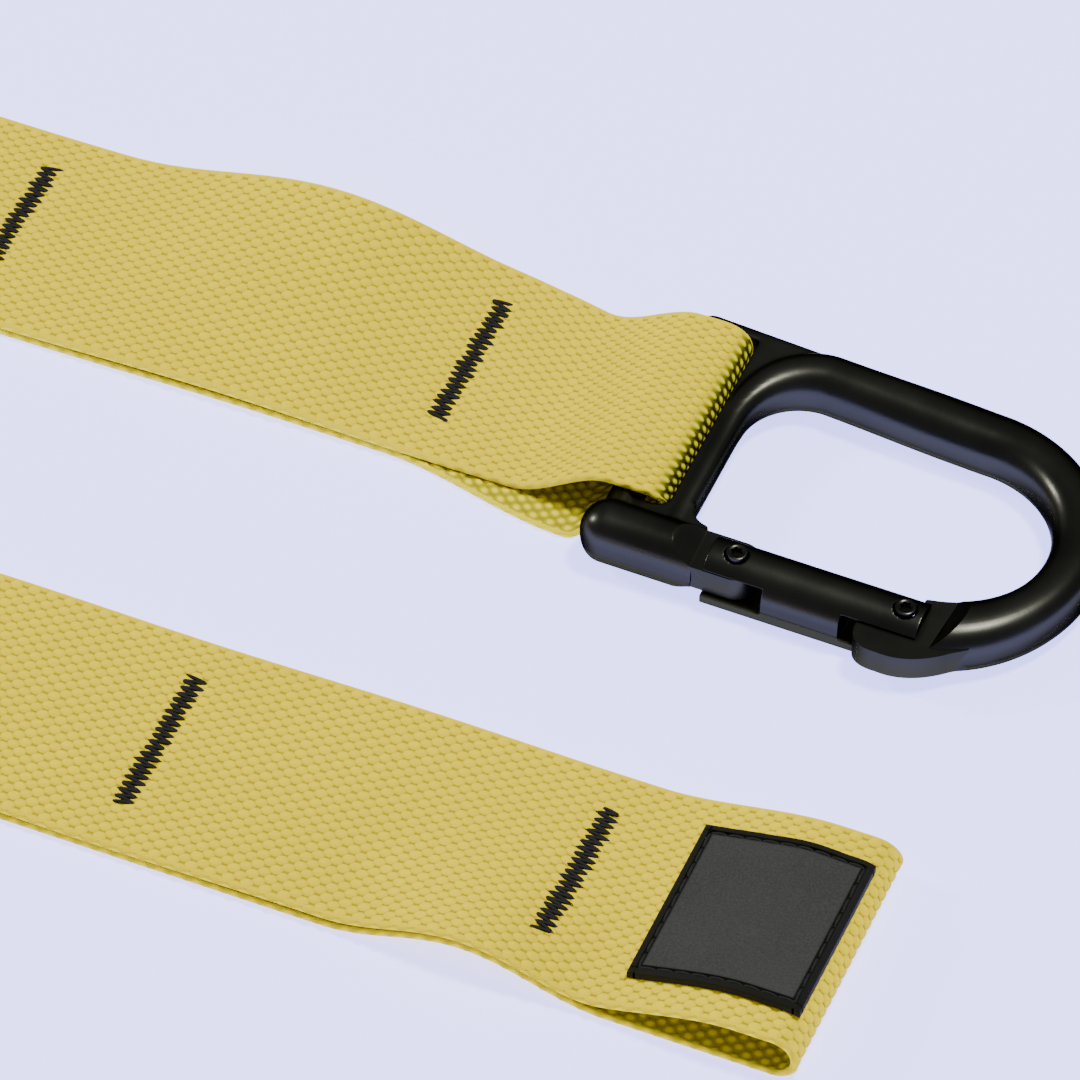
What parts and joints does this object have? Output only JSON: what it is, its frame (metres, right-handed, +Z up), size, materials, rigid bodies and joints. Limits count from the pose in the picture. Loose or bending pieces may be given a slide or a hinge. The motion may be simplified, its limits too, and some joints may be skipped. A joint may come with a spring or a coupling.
{
  "type": "daisy-chain hanging strap with carabiner",
  "caption": "Yellow webbing strap for gymnastics rings, folded double and sewn into pockets by black bar tacks, with a rubber patch at one end and a black spring-gate carabiner at the other.",
  "frame": {"origin": "the middle of the footprint, on the surface that the part lies on", "axes": "+X along the strap's two runs towards the carabiner's round end, +Y from the patch run towards the carabiner run, +Z up"},
  "size_m": [0.4354, 0.1576, 0.0501],
  "materials": {
    "webbing_yellow": "coarse weave of staggered oval cells, slight sheen",
    "thread_black": "dense zigzag of polyester thread",
    "patch_rubber": "matt, fine grained",
    "hook_black": "satin black coating on a casting",
    "screw_black": "black oxide, semi-gloss",
    "spring_steel": "bright"
  },
  "bodies": {
    "strap": {"webbing": "webbing_yellow", "bar_tack_01": "thread_black", "bar_tack_02": "thread_black", "bar_tack_03": "thread_black", "bar_tack_04": "thread_black", "bar_tack_05": "thread_black", "bar_tack_06": "thread_black", "bar_tack_07": "thread_black", "bar_tack_08": "thread_black", "bar_tack_09": "thread_black", "bar_tack_10": "thread_black", "patch": "patch_rubber", "patch_stitching": "thread_black"},
    "carabiner": {"carabiner_body": "hook_black"},
    "gate": {"gate": "hook_black", "hinge_screw": "screw_black", "hinge_nut": "screw_black", "latch_screw": "screw_black", "latch_nut": "screw_black", "gate_spring": "spring_steel"},
    "plunger": {"spring_plunger": "spring_steel"}
  },
  "joints": [
    {"name": "carabiner_swing", "type": "hinge", "parent": "strap", "child": "carabiner", "pos_m": [0.13166, 0.04997, 0.0071], "axis": [0, -1, 0], "range_deg": [0, 95]},
    {"name": "gate_hinge", "type": "hinge", "parent": "carabiner", "child": "gate", "pos_m": [0.15686, 0.02087, 0.00664], "axis": [0.0183, 0, 0.9998], "range_deg": [0, 28], "stiffness_Nm_per_rad": 0.15, "springref_deg": -11.46},
    {"name": "plunger_slide", "type": "slide", "parent": "gate", "child": "plunger", "axis": [0.9998, 0, -0.0183], "range_m": [0, 0.0015], "deforming": ["gate_spring"]}
  ],
  "couplings": [
    {"joint": "plunger_slide", "follows": "gate_hinge", "m_per_rad": 0.00286}
  ]
}
